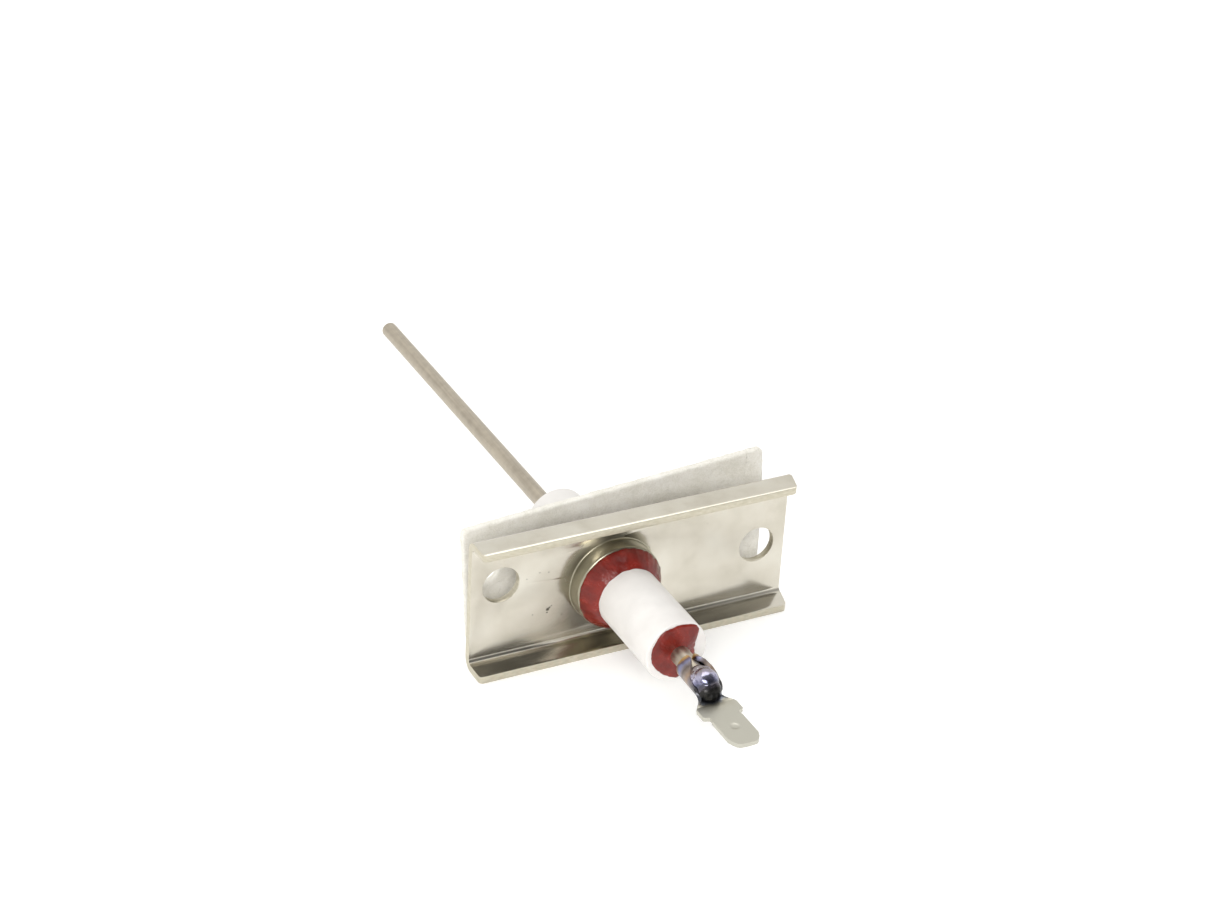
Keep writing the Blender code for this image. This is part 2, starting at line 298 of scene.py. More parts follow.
def stainlessMaterial():
    # cold-rolled stainless sheet: cloudy, satin reflections with faint lines along the rolling, and a painted
    # shade beside the collar
    look, tree, shader, place = newMaterial("cold-rolled stainless sheet")
    finish = stainlessFinish
    cloud = addNode(tree, "ShaderNodeTexNoise", {"Vector": place, "Scale": 1 / (7 * mm), "Detail": 4.0})
    tone = addNode(tree, "ShaderNodeValToRGB",
            {"Fac": cloud.outputs[0]},
            stops=[(0.32, finish["smudge"]), (0.5, finish["dull"]), (0.68, finish["bright"])])
    colour = tone.outputs[0]
    warped = addNode(tree, "ShaderNodeTexNoise", {"Vector": place, "Scale": 1 / (0.3 * mm), "Detail": 2.0})
    jitter = addNode(tree, "ShaderNodeMapRange", {0: warped.outputs[0], 3: -0.14 * mm, 4: 0.14 * mm})
    for x, height, radius in bracketShape["specks"]:
        away = addNode(tree, "ShaderNodeVectorMath",
                {0: place, 1: (x * mm, -1.5 * mm, height * mm)}, operation="DISTANCE")
        ragged = addNode(tree, "ShaderNodeMath",
                {0: away.outputs["Value"], 1: jitter.outputs[0]}, operation="ADD")
        edge = addNode(tree, "ShaderNodeMapRange",
                {0: ragged.outputs[0], 1: 0.75 * radius * mm, 2: 1.25 * radius * mm, 3: 0.85, 4: 0.0})
        mixed = addNode(tree, "ShaderNodeMix",
                {0: edge.outputs[0], 6: colour, 7: linear("3a342b")}, data_type="RGBA")
        colour = mixed.outputs[2]
    # painted shade beside the collar, strongest on one side, where the reflections are also duller
    flat = addNode(tree, "ShaderNodeVectorMath", {0: place, 1: (1.0, 0.0, 1.0)}, operation="MULTIPLY")
    radius = addNode(tree, "ShaderNodeVectorMath", {0: flat.outputs[0]}, operation="LENGTH")
    paintedShadeStart, paintedShadeEnd = finish["paintedShadeReach"]
    near = addNode(tree, "ShaderNodeMapRange",
            {0: radius.outputs["Value"], 1: paintedShadeStart * mm, 2: paintedShadeEnd * mm, 3: finish["paintedShadeDepth"],
             4: 0.0}, interpolation_type="SMOOTHSTEP")
    side = addNode(tree, "ShaderNodeVectorMath", {0: flat.outputs[0]}, operation="NORMALIZE")
    darkest = Vector(finish["paintedShadeSide"]).normalized()
    facing = addNode(tree, "ShaderNodeVectorMath", {0: side.outputs[0], 1: darkest}, operation="DOT_PRODUCT")
    sector = addNode(tree, "ShaderNodeMapRange",
            {0: facing.outputs["Value"], 1: 0.5, 2: 0.98}, interpolation_type="SMOOTHSTEP")
    shade = addNode(tree, "ShaderNodeMath", {0: near.outputs[0], 1: sector.outputs[0]}, operation="MULTIPLY")
    withPaintedShade = addNode(tree, "ShaderNodeMix",
            {0: shade.outputs[0], 6: colour, 7: linear("47433a")}, data_type="RGBA")
    join(tree, withPaintedShade.outputs[2], shader, "Base Color")
    shader.inputs["Metallic"].default_value = 1.0
    lines = addNode(tree, "ShaderNodeMapping",
            {0: place, "Scale": perMm(finish["grainLength"], finish["grainWidth"], finish["grainWidth"])})
    grain = addNode(tree, "ShaderNodeTexNoise", {"Vector": lines.outputs[0], "Scale": 1.0, "Detail": 4.0})
    mottled = addNode(tree, "ShaderNodeMath", {0: grain.outputs[0], 1: cloud.outputs[0]}, operation="ADD")
    rough = addNode(tree, "ShaderNodeMapRange",
            {0: mottled.outputs[0], 1: 0.7, 2: 1.3, 3: finish["roughness"][0], 4: finish["roughness"][1]})
    veiled = addNode(tree, "ShaderNodeMath",
            {0: shade.outputs[0], 1: finish["paintedShadeVeil"], 2: rough.outputs[0]}, operation="MULTIPLY_ADD")
    join(tree, veiled.outputs[0], shader, "Roughness")
    bump = addNode(tree, "ShaderNodeBump",
            {"Height": grain.outputs[0], "Strength": 0.35, "Distance": finish["grainDepth"] * mm})
    join(tree, bump.outputs[0], shader, "Normal")
    return look


def shearedEdgeMaterial():
    # sheared sheet edge: a burnished band beside a torn, duller one, with fine lines across
    look, tree, shader, place = newMaterial("sheared stainless edge")
    across = addNode(tree, "ShaderNodeMapping", {0: place, "Scale": perMm(0.9, 2.0, 0.35)})
    tear = addNode(tree, "ShaderNodeTexNoise", {"Vector": across.outputs[0], "Scale": 1.0, "Detail": 6.0})
    tone = addNode(tree, "ShaderNodeValToRGB",
            {"Fac": tear.outputs[0]}, stops=[(0.3, "bab4a1"), (0.55, "c6c0af"), (0.75, "cfcabb")])
    join(tree, tone.outputs[0], shader, "Base Color")
    shader.inputs["Metallic"].default_value = 1.0
    rough = addNode(tree, "ShaderNodeMapRange", {0: tear.outputs[0], 3: 0.22, 4: 0.55})
    join(tree, rough.outputs[0], shader, "Roughness")
    bump = addNode(tree, "ShaderNodeBump",
            {"Height": tear.outputs[0], "Strength": 0.3, "Distance": 0.02 * mm})
    join(tree, bump.outputs[0], shader, "Normal")
    return look


def bracketSection():
    # pairs of (forward, height) on the outside and the inside of the folded sheet
    shape = bracketShape
    depth, fold, sheet = shape["flangeDepth"], shape["foldRadius"], shape["sheet"]
    corner = shape["cornerRadius"]
    flange = [depth - corner * (1 - math.cos(math.radians(a))) for a in range(0, 91, 15)]
    upper = [((d, shape["top"]), (d, shape["top"] - sheet)) for d in flange]
    centre = shape["top"] - fold
    outer = arcPoints((fold, centre), fold, 90, 180, shape["foldSteps"])
    inner = arcPoints((fold, centre), fold - sheet, 90, 180, shape["foldSteps"])
    upper += list(zip(outer, inner))
    middle = (shape["top"] + shape["bottom"]) / 2
    lower = [((d0, 2 * middle - z0), (d1, 2 * middle - z1)) for (d0, z0), (d1, z1) in reversed(upper)]
    return upper + lower


def endInset(forward, taper):
    # how far an end of a flange is cut back at this depth: the taper and the rounded corner
    shape = bracketShape
    corner = shape["cornerRadius"]
    past = max(0.0, forward - (shape["flangeDepth"] - corner))
    rounded = corner - math.sqrt(max(0.0, corner ** 2 - past ** 2))
    flat = shape["flangeDepth"] - shape["foldRadius"]
    return taper * max(0.0, forward - shape["foldRadius"]) / flat + rounded


def buildBracket():
    shape = bracketShape
    section = bracketSection()
    verts = []
    for pair in section:
        for forward, height in pair:
            verts.append((shape["left"] + endInset(forward, 0.0), -forward, height))
            verts.append((shape["right"] - endInset(forward, shape["rightTaper"]), -forward, height))
    faces = []
    for i in range(len(section) - 1):
        a, b = 4 * i, 4 * i + 4
        faces.append((a, a + 1, b + 1, b))              # outside
        faces.append((a + 2, b + 2, b + 3, a + 3))      # inside
        faces.append((a, b, b + 2, a + 2))              # left end
        faces.append((a + 1, a + 3, b + 3, b + 1))      # right end
    last = 4 * (len(section) - 1)
    faces.append((0, 2, 3, 1))
    faces.append((last, last + 1, last + 3, last + 2))
    bracket = newMesh("mountingBracket", verts, faces, [stainlessMaterial(), shearedEdgeMaterial()])
    cutters = []
    holes = [(x, z, shape["screwHoleRadius"]) for x, z in shape["screwHoles"]]
    for x, z, radius in holes + [(0.0, 0.0, shape["collarHoleRadius"])]:
        mesh = bpy.data.meshes.new("holeCutter")
        work = bmesh.new()
        turn = Matrix.Translation((x * mm, 0, z * mm)) @ Matrix.Rotation(math.radians(90), 4, "X")
        bmesh.ops.create_cone(work, cap_ends=True, segments=shape["holeSides"], radius1=radius * mm,
                              radius2=radius * mm, depth=shape["cutterLength"] * mm, matrix=turn)
        work.to_mesh(mesh)
        work.free()
        cutter = newObject("holeCutter", mesh)
        cutter.hide_render = True
        cutters.append(cutter)
        boolean = bracket.modifiers.new("hole", "BOOLEAN")
        boolean.object = cutter
        boolean.solver = "EXACT"
    soften = bracket.modifiers.new("edgeBreak", "BEVEL")
    soften.width = shape["edgeBreak"] * mm
    soften.segments = 3
    soften.limit_method = "ANGLE"
    soften.angle_limit = math.radians(40)
    soften.harden_normals = True
    settle(bracket)
    for cutter in cutters:
        bpy.data.objects.remove(cutter)
    # edges left by the shear and the punch get the edge finish
    for face in bracket.data.polygons:
        x, y, z = [c / mm for c in face.center]
        cut = -y > shape["flangeDepth"] - 0.2 and abs(face.normal.y) > 0.6
        cut = cut or (abs(face.normal.x) > 0.6 and (x < shape["left"] + 1.2 or x > shape["right"] - 2.4))
        for hx, hz, radius in holes:
            cut = cut or (math.hypot(x - hx, z - hz) < radius + 0.05 and abs(face.normal.y) < 0.5)
        face.material_index = 1 if cut else 0
    return bracket


bracket = buildBracket()
addPiece(bracket, "electrode", "stainless_sheet", "mounting_bracket")

print("stage: turned pieces")

# A closed profile swept round the electrode's axis. The profile is a loop of edges
# with x = radius less the ring's and y = forward.
turnRadius = 5.0


def newTree(name, sockets):
    # a Geometry Nodes tree with these inputs and one Geometry output
    tree = bpy.data.node_groups.new(name, "GeometryNodeTree")
    for socket, kind in sockets.items():
        tree.interface.new_socket(socket, in_out="INPUT", socket_type="NodeSocket" + kind)
    tree.interface.new_socket("Geometry", in_out="OUTPUT", socket_type="NodeSocketGeometry")
    return tree, addNode(tree, "NodeGroupInput").outputs


def turnedTree():
    tree, given = newTree("turnedRound",
            {"Profile": "Geometry", "Steps": "Int", "Ring Radius": "Float", "Finish": "Material"})
    profile = addNode(tree, "GeometryNodeMeshToCurve", {0: given["Profile"]})
    ring = addNode(tree, "GeometryNodeCurvePrimitiveCircle",
            {"Resolution": given["Steps"], "Radius": given["Ring Radius"]})
    swept = addNode(tree, "GeometryNodeCurveToMesh", {0: ring.outputs[0], 1: profile.outputs[0]})
    turned = addNode(tree, "GeometryNodeTransform",
            {0: swept.outputs[0], "Rotation": (math.radians(-90), 0, 0)})
    whole = addNode(tree, "GeometryNodeRealizeInstances", {0: turned.outputs[0]})
    painted = addNode(tree, "GeometryNodeSetMaterial", {0: whole.outputs[0], "Material": given["Finish"]})
    addNode(tree, "NodeGroupOutput", {0: painted.outputs[0]})
    return tree


def giveInputs(modifier, values):
    for item in modifier.node_group.interface.items_tree:
        if item.in_out == "INPUT" and item.name in values:
            modifier[item.identifier] = values[item.name]


turnTree = turnedTree()


def turnPiece(name, profile, look, steps=128, sharpAngle=40):
    mesh = bpy.data.meshes.new(name)
    points = [((radius - turnRadius) * mm, forward * mm, 0.0) for radius, forward in profile]
    edges = [(i, (i + 1) % len(points)) for i in range(len(points))]
    mesh.from_pydata(points, edges, [])
    obj = newObject(name, mesh)
    turning = obj.modifiers.new("turning", "NODES")
    turning.node_group = turnTree
    giveInputs(turning, {"Steps": steps, "Ring Radius": turnRadius * mm, "Finish": look})
    settle(obj)
    cleanMesh(obj.data)
    shadeSmooth(obj.data, sharpAngle)
    return obj


collarShape = {
    "bore": 8.0,
    "wall": 9.05,
    "front": 4.9,
    "filletRadius": 0.25,
    "foot": 1.54,         # just proud of the web's front face
    "spigot": 9.1,
}


def collarMaterial():
    # drawn collar: metal stretched and polished by the punch, so it is smoother and darker than the sheet
    look, tree, shader, place = newMaterial("drawn stainless collar")
    streaks = addNode(tree, "ShaderNodeMapping", {0: place, "Scale": perMm(1.2, 0.16, 1.2)})
    scuff = addNode(tree, "ShaderNodeTexNoise", {"Vector": streaks.outputs[0], "Scale": 1.0, "Detail": 4.0})
    tone = addNode(tree, "ShaderNodeValToRGB",
            {"Fac": scuff.outputs[0]}, stops=[(0.3, "989381"), (0.5, "9f9a88"), (0.72, "a6a18f")])
    join(tree, tone.outputs[0], shader, "Base Color")
    shader.inputs["Metallic"].default_value = 1.0
    rough = addNode(tree, "ShaderNodeMapRange", {0: scuff.outputs[0], 3: 0.27, 4: 0.33})
    join(tree, rough.outputs[0], shader, "Roughness")
    bump = addNode(tree, "ShaderNodeBump",
            {"Height": scuff.outputs[0], "Strength": 0.1, "Distance": 0.002 * mm})
    join(tree, bump.outputs[0], shader, "Normal")
    return look


def collarProfile():
    shape = collarShape
    rim = (shape["wall"] - shape["bore"]) / 2
    middle = (shape["wall"] + shape["bore"]) / 2
    profile = arcPoints((middle, shape["front"] - rim), rim, 180, 0, 14)
    fillet = shape["filletRadius"]
    profile += arcPoints((shape["wall"] + fillet, shape["foot"] + fillet), fillet, 180, 262, 16)
    profile += [(shape["wall"] + fillet, shape["foot"]), (shape["wall"] + fillet, 1.45)]
    profile += [(shape["spigot"], 1.45), (shape["spigot"], 0.02), (shape["bore"], 0.02)]
    return profile


collar = turnPiece("drawnCollar", collarProfile(), collarMaterial())
addPiece(collar, "electrode", "turned_steel", "ferrule")

ceramicShape = {
    "radius": 6.35,
    "front": 28.3,
    "rear": -23.8,
    "bore": 1.85,
    "easeFront": 0.35,
    "easeRear": 0.5,
    "pocketRadius": 3.3,
    "pocketDepth": 4.0,
}


def aluminaMaterial():
    # fired alumina: dense white body, fine grain, slight lustre and a few pores
    look, tree, shader, place = newMaterial("fired alumina ceramic")
    body = addNode(tree, "ShaderNodeTexNoise", {"Vector": place, "Scale": 1 / (5 * mm), "Detail": 3.0})
    tone = addNode(tree, "ShaderNodeValToRGB",
            {"Fac": body.outputs[0]}, stops=[(0.35, "dbd8d5"), (0.65, "e3e0dd")])
    pores = addNode(tree, "ShaderNodeTexVoronoi", {"Vector": place, "Scale": 1 / (2.4 * mm)})
    pore = addNode(tree, "ShaderNodeMapRange", {0: pores.outputs[0], 1: 0.02, 2: 0.06, 3: 0.35, 4: 0.0})
    colour = addNode(tree, "ShaderNodeMix",
            {0: pore.outputs[0], 6: tone.outputs[0], 7: linear("cfc9bd")}, data_type="RGBA")
    join(tree, colour.outputs[2], shader, "Base Color")
    grain = addNode(tree, "ShaderNodeTexNoise", {"Vector": place, "Scale": 1 / (0.12 * mm), "Detail": 3.0})
    rough = addNode(tree, "ShaderNodeMapRange", {0: grain.outputs[0], 3: 0.34, 4: 0.5})
    join(tree, rough.outputs[0], shader, "Roughness")
    bump = addNode(tree, "ShaderNodeBump",
            {"Height": grain.outputs[0], "Strength": 0.25, "Distance": 0.008 * mm})
    join(tree, bump.outputs[0], shader, "Normal")
    shader.inputs["IOR"].default_value = 1.6
    return look


def ceramicProfile():
    shape = ceramicShape
    front, rear, radius = shape["front"], shape["rear"], shape["radius"]
    easeFront, easeRear = shape["easeFront"], shape["easeRear"]
    floorAt = rear + shape["pocketDepth"]
    profile = arcPoints((radius - easeFront, front - easeFront), easeFront, 90, 0, 8)
    profile += arcPoints((radius - easeRear, rear + easeRear), easeRear, 0, -90, 8)
    profile += [(shape["pocketRadius"], rear), (shape["pocketRadius"], floorAt), (shape["bore"], floorAt)]
    profile.append((shape["bore"], front))
    return profile


ceramic = turnPiece("ceramicInsulator", ceramicProfile(), aluminaMaterial())
addPiece(ceramic, "electrode", "alumina_ceramic", "ceramic_insulator")

rodShape = {
    "radius": 1.7,
    "front": 36.6,
    "rear": -109.6,
    "ease": 0.35,
    "stubRadius": 1.85,     # a little fuller where it leaves the insulator
    "stub": (29.0, 33.4),
    "sides": 64,
    "sharpAngle": 50,
}


def rodMaterial():
    # drawn heating alloy: dull grey-brown with die lines along it and an uneven oxide
    look, tree, shader, place = newMaterial("drawn iron-chromium-aluminium rod")
    along = addNode(tree, "ShaderNodeMapping", {0: place, "Scale": perMm(0.35, 14.0, 0.35)})
    lines = addNode(tree, "ShaderNodeTexNoise", {"Vector": along.outputs[0], "Scale": 1.0, "Detail": 4.0})
    oxide = addNode(tree, "ShaderNodeTexNoise", {"Vector": place, "Scale": 1 / (1.6 * mm), "Detail": 5.0})
    both = addNode(tree, "ShaderNodeMath", {0: lines.outputs[0], 1: oxide.outputs[0]}, operation="ADD")
    halved = addNode(tree, "ShaderNodeMath", {0: both.outputs[0], 1: 0.5}, operation="MULTIPLY")
    tone = addNode(tree, "ShaderNodeValToRGB",
            {"Fac": halved.outputs[0]}, stops=[(0.36, "a59c8e"), (0.5, "b2a99a"), (0.64, "beb5a5")])
    join(tree, tone.outputs[0], shader, "Base Color")
    shader.inputs["Metallic"].default_value = 1.0
    rough = addNode(tree, "ShaderNodeMapRange", {0: halved.outputs[0], 1: 0.35, 2: 0.65, 3: 0.34, 4: 0.52})
    join(tree, rough.outputs[0], shader, "Roughness")
    bump = addNode(tree, "ShaderNodeBump",
            {"Height": both.outputs[0], "Strength": 0.25, "Distance": 0.006 * mm})
    join(tree, bump.outputs[0], shader, "Normal")
    return look


def buildRod():
    shape = rodShape
    radius, ease, steps = shape["radius"], shape["ease"], shape["sides"]
    profile = arcPoints((radius - ease, shape["front"] - ease), ease, 90, 0, 6)
    stubRear, stubFront = shape["stub"]
    profile += [(radius, stubFront + 0.3), (shape["stubRadius"], stubFront), (shape["stubRadius"], stubRear)]
    profile.append((radius, stubRear - 0.5))
    profile += arcPoints((radius - ease, shape["rear"] + ease), ease, 0, -90, 6)
    verts = [(0.0, -shape["front"], 0.0), (0.0, -shape["rear"], 0.0)]
    for r, forward in profile:
        for k in range(steps):
            angle = math.tau * k / steps
            verts.append((r * math.cos(angle), -forward, r * math.sin(angle)))
    faces = []
    for k in range(steps):
        n = (k + 1) % steps
        faces.append((0, 2 + n, 2 + k))
        for ring in range(len(profile) - 1):
            a, b = 2 + ring * steps, 2 + (ring + 1) * steps
            faces.append((a + k, a + n, b + n, b + k))
        last = 2 + (len(profile) - 1) * steps
        faces.append((1, last + k, last + n))
    rod = newMesh("electrodeRod", verts, faces, [rodMaterial()])
    shadeSmooth(rod.data, shape["sharpAngle"])
    return rod


rod = buildRod()
addPiece(rod, "electrode", "rod_alloy", "electrode_rod")

print("stage: sealants and cement")

sealantShape = {
    "outer": 8.85,
    "lip": 5.08,
    "climb": 3.55,         # how far it creeps up the insulator
    "edgeRagged": 0.16,
    "surfaceRagged": 0.10,
    # how far the cap was smeared each way: degrees anticlockwise from the right, radius
    "capReach": ((0, 3.55), (12, 3.75), (24, 4.2), (36, 5.1), (44, 6.1), (52, 6.2), (90, 5.9), (135, 5.7),
                 (180, 5.45), (225, 5.1), (270, 5.8), (305, 5.4), (330, 4.3), (345, 3.8), (360, 3.55)),
    "capHeight": 0.95,
    "capRagged": 0.22,
    "ringSteps": 240,
    "capSteps": 200,
    "plugSteps": 96,
    "sharpAngle": 65,
}


def sealantMaterial():
    # cured silicone sealant, wiped by hand: glossy skin, soft wrinkles, a little light inside
    look, tree, shader, place = newMaterial("cured red silicone sealant")
    patch = addNode(tree, "ShaderNodeTexNoise", {"Vector": place, "Scale": 1 / (2.5 * mm), "Detail": 4.0})
    tone = addNode(tree, "ShaderNodeValToRGB",
            {"Fac": patch.outputs[0]}, stops=[(0.3, "621912"), (0.5, "731f17"), (0.72, "88281d")])
    join(tree, tone.outputs[0], shader, "Base Color")
    rough = addNode(tree, "ShaderNodeMapRange", {0: patch.outputs[0], 3: 0.16, 4: 0.34})
    join(tree, rough.outputs[0], shader, "Roughness")
    wrinkle = addNode(tree, "ShaderNodeTexNoise",
            {"Vector": place, "Scale": 1 / (0.8 * mm), "Detail": 3.0, "Distortion": 1.2})
    bump = addNode(tree, "ShaderNodeBump",
            {"Height": wrinkle.outputs[0], "Strength": 0.7, "Distance": 0.12 * mm})
    join(tree, bump.outputs[0], shader, "Normal")
    shader.inputs["IOR"].default_value = 1.43
    shader.inputs["Subsurface Weight"].default_value = 0.12
    shader.inputs["Subsurface Radius"].default_value = (0.9 * mm, 0.3 * mm, 0.2 * mm)
    shader.inputs["Subsurface Scale"].default_value = 1.0
    return look


def cementMaterial():
    # dried refractory cement: chalky, grainy, no shine
    look, tree, shader, place = newMaterial("dried refractory cement")
    grit = addNode(tree, "ShaderNodeTexNoise", {"Vector": place, "Scale": 1 / (0.3 * mm), "Detail": 6.0})
    tone = addNode(tree, "ShaderNodeValToRGB",
            {"Fac": grit.outputs[0]}, stops=[(0.3, "cfc8b8"), (0.7, "e6e1d6")])
    join(tree, tone.outputs[0], shader, "Base Color")
    shader.inputs["Roughness"].default_value = 0.9
    bump = addNode(tree, "ShaderNodeBump",
            {"Height": grit.outputs[0], "Strength": 0.8, "Distance": 0.08 * mm})
    join(tree, bump.outputs[0], shader, "Normal")
    return look


def handFormed(name, profileAt, look, steps):
    # a ring whose closed profile changes with the angle, as hand-applied paste does
    verts, faces, count = [], [], 0
    for k in range(steps):
        angle = math.tau * k / steps
        profile = profileAt(angle)
        count = len(profile)
        verts += [(r * math.cos(angle), -forward, r * math.sin(angle)) for r, forward in profile]
    for k in range(steps):
        a, b = k * count, ((k + 1) % steps) * count
        for i in range(count):
            j = (i + 1) % count
            faces.append((a + i, a + j, b + j, b + i))
    obj = newMesh(name, verts, faces, [look])
    shadeSmooth(obj.data, sealantShape["sharpAngle"])
    return obj


def ringProfile(angle):
    shape = sealantShape
    x, z = math.cos(angle), math.sin(angle)
    ragged = shape["edgeRagged"]
    outer = shape["outer"] + ragged * wave(8 * x, 0, 8 * z, 1.3, 1)
    outer += 0.5 * ragged * wave(8 * x, 0, 8 * z, 0.5, 2)
    lip = shape["lip"] + 0.6 * ragged * wave(8 * x, 4, 8 * z, 1.6, 3)
    top = shape["lip"] + shape["climb"] + 1.1 * ragged * wave(6 * x, 9, 6 * z, 1.2, 4)
    inner = ceramicShape["radius"] - 0.06
    profile = []
    for i in range(15):
        t = i / 14
        r = outer + (inner - outer) * t
        # steep at the lip, flatter further in, and drawn up a little at the insulator
        rise = 0.62 * math.sin(t * math.pi / 2) + 0.30 * t + 0.08 * t ** 6
        forward = lip + (top - lip) * rise
        forward += shape["surfaceRagged"] * math.sin(t * math.pi) * wave(r * x, 0, r * z, 2.2, 5)
        profile.append((r, forward))
    well = collarShape["bore"] - 0.03
    profile += [(inner, 0.6), (well, 0.6), (well, lip - 0.3)]
    profile.append((outer - 0.05, lip - 0.16))
    return profile


def capProfile(angle):
    shape = sealantShape
    x, z = math.cos(angle), math.sin(angle)
    ragged = shape["capRagged"]
    reach = between(shape["capReach"], math.degrees(angle))[0]
    outer = reach + ragged * wave(5 * x, 0, 5 * z, 1.5, 6)
    outer += 0.45 * ragged * wave(5 * x, 0, 5 * z, 0.5, 7)
    seat = ceramicShape["front"] - 0.12
    inner = rodShape["radius"] - 0.04
    profile = [(outer - 0.1, seat), (outer, seat + 0.18)]
    for i in range(12):
        t = i / 11
        r = outer - 0.12 + (inner - outer + 0.12) * t
        rise = 0.30 + 0.55 * math.sin(min(1.0, t * 1.15) * math.pi / 2) + 0.35 * t ** 5
        forward = seat + 0.1 + shape["capHeight"] * rise
        forward += 0.11 * math.sin(t * math.pi) * wave(r * x, 0, r * z, 1.8, 8)
        profile.append((r, forward))
    profile.append((inner, seat))
    return profile


def cementProfile(angle):
    x, z = math.cos(angle), math.sin(angle)
    rear = ceramicShape["rear"]
    floorAt = rear + ceramicShape["pocketDepth"] - 0.05
    inner = rodShape["radius"] - 0.03
    outer = ceramicShape["pocketRadius"] - 0.02
    profile = [(inner, floorAt), (outer, floorAt)]
    for i in range(9):
        t = i / 8
        r = outer + (inner - outer) * t
        forward = rear + 0.35 * t + 0.16 * wave(3 * r * x, 0, 3 * r * z, 2.0, 9)
        profile.append((r, forward))
    return profile


redSealant = sealantMaterial()
sealantRing = handFormed("collarSealant", ringProfile, redSealant, sealantShape["ringSteps"])
addPiece(sealantRing, "electrode", "red_sealant", "ferrule_sealant")
sealantCap = handFormed("frontSealantCap", capProfile, redSealant, sealantShape["capSteps"])
addPiece(sealantCap, "electrode", "red_sealant", "front_sealant_cap")
cementPlug = handFormed("rearCementPlug", cementProfile, cementMaterial(), sealantShape["plugSteps"])
addPiece(cementPlug, "electrode", "refractory_cement", "rear_cement")

print("stage: terminal")

terminalShape = {
    "sheet": 0.8,
    "bottom": -2.3,             # height of the strip's middle line
    # forward, half width of the flat strip, wrap radius (0 is flat)
    "stations": (
        (33.2, 6.5, 2.25), (33.6, 6.7, 2.25), (34.4, 6.7, 2.25), (35.4, 6.2, 2.28), (36.6, 5.6, 2.3),
        (37.6, 4.9, 2.33), (38.6, 4.3, 2.38), (39.4, 4.0, 2.4), (40.2, 3.8, 2.45), (40.9, 3.4, 2.5),
        (41.3, 3.0, 2.6), (41.5, 2.6, 2.9),
        (41.9, 2.45, 4.5), (42.4, 2.75, 9.0), (42.9, 3.3, 40.0), (43.5, 3.85, 0), (44.2, 4.15, 0),
        (46.1, 4.15, 0), (46.6, 4.1, 0), (46.85, 3.85, 0), (46.95, 3.4, 0), (47.15, 3.0, 0),
        (47.6, 2.9, 0), (48.1, 3.1, 0), (54.2, 3.12, 0), (55.2, 2.72, 0), (56.0, 2.25, 0),
        (56.35, 1.95, 0), (56.5, 1.65, 0),
    ),
    "columns": 48,
    "rowSpacing": 0.14,
    "closest": 0.045,           # rows nearer than this are left out
    "dimple": (51.0, 1.15, 0.11),     # forward, radius, depth
    "edgeBreak": 0.10,
    "lift": 0.22,               # how steeply the right wing leans away from the rod
    "liftFrom": 1.6,            # the height above the strip where it starts to lean
    "liftSpan": (33.6, 35.1),   # it leans fully from the second of these places on
    "crown": 0.12,              # how far the tip's corners fall back
    "crownStart": 55.4,
    "crownLength": 1.1,
}

heatTint = (
    # forward, colour: straw at the barrel's mouth, then the blues, the scorch and the bare plate
    (33.2, "c9b78c"), (33.8, "b08a58"), (34.25, "6f6068"), (34.8, "8c8fb0"), (35.3, "938d94"),
    (35.9, "756a66"), (36.8, "978b84"), (37.8, "a8917f"), (38.8, "8a8184"), (40.2, "605c5f"),
    (41.5, "454446"), (42.4, "4e5056"), (43.1, "70737a"), (43.7, "9c988a"), (44.5, "b7b4a7"),
    (46.5, "bcbaaf"),
)


def terminalMaterial():
    # nickel-plated pressing: soft satin blade, oxide colours where the weld heated it
    look, tree, shader, place = newMaterial("heat-tinted plated steel")
    split = addNode(tree, "ShaderNodeSeparateXYZ", {0: place})
    drift = addNode(tree, "ShaderNodeTexNoise", {"Vector": place, "Scale": 1 / (1.6 * mm), "Detail": 3.0})
    bent = addNode(tree, "ShaderNodeMath", {0: split.outputs[0], 1: split.outputs[0]}, operation="MULTIPLY")
    bend = addNode(tree, "ShaderNodeMath", {0: bent.outputs[0], 1: 90.0}, operation="MULTIPLY")
    wander = addNode(tree, "ShaderNodeMapRange", {0: drift.outputs[0], 3: -0.9 * mm, 4: 0.9 * mm})
    forward = addNode(tree, "ShaderNodeMath", {0: bend.outputs[0], 1: split.outputs[1]}, operation="SUBTRACT")
    shifted = addNode(tree, "ShaderNodeMath", {0: forward.outputs[0], 1: wander.outputs[0]}, operation="ADD")
    start, end = heatTint[0][0], heatTint[-1][0]
    along = addNode(tree, "ShaderNodeMapRange", {0: shifted.outputs[0], 1: start * mm, 2: end * mm})
    tint = addNode(tree, "ShaderNodeValToRGB",
            {"Fac": along.outputs[0]},
            stops=[((at - start) / (end - start), colour) for at, colour in heatTint])
    join(tree, tint.outputs[0], shader, "Base Color")
    shader.inputs["Metallic"].default_value = 1.0
    fine = addNode(tree, "ShaderNodeTexNoise", {"Vector": place, "Scale": 1 / (0.25 * mm), "Detail": 4.0})
    rough = addNode(tree, "ShaderNodeMapRange", {0: fine.outputs[0], 3: 0.24, 4: 0.42})
    join(tree, rough.outputs[0], shader, "Roughness")
    bump = addNode(tree, "ShaderNodeBump",
            {"Height": fine.outputs[0], "Strength": 0.3, "Distance": 0.02 * mm})
    join(tree, bump.outputs[0], shader, "Normal")
    return look


